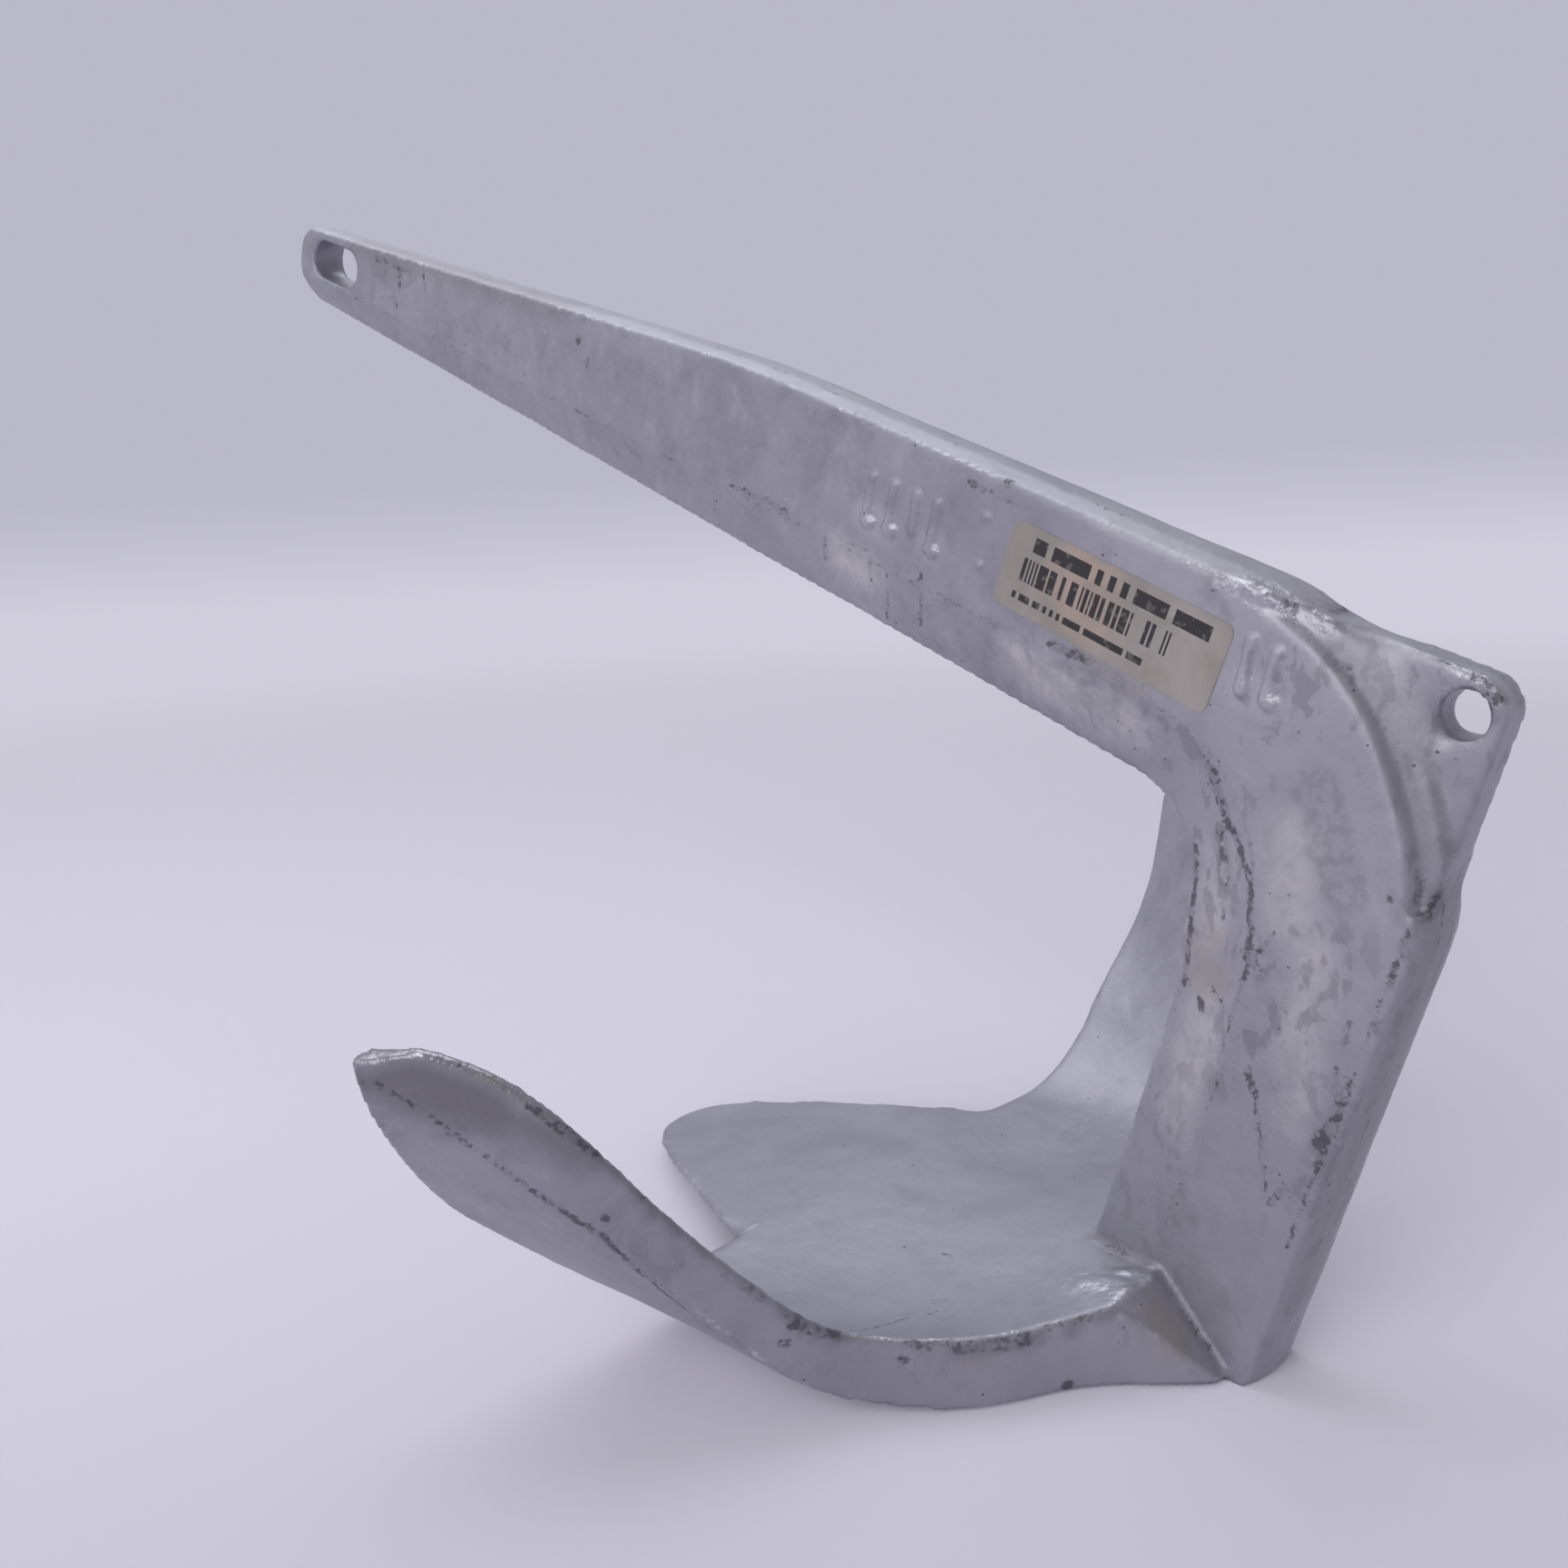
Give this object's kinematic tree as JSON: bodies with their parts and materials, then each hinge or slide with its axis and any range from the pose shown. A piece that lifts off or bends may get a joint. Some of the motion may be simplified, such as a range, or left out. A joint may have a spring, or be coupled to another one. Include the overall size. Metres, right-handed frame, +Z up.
{
  "type": "claw anchor",
  "caption": "Galvanised cast claw anchor: tapered shank with a shackle eye, three-pointed scoop and a corner lug with a trip-line hole.",
  "frame": {"origin": "on the ground under the middle of the anchor's length, in its plane of symmetry", "axes": "+X from the shackle eye towards the crown and the trip-line lug, +Z up with the anchor lying on its claw, Y across the claw from horn to horn"},
  "size_m": [0.5426, 0.3884, 0.3749],
  "materials": {
    "galvanised_steel": "hot-dip galvanised, satin grey with cloudy spangle and drips",
    "label_paper": "matte self-adhesive paper"
  },
  "bodies": {
    "root": {"anchor_casting": "galvanised_steel", "label": "label_paper"}
  },
  "joints": []
}
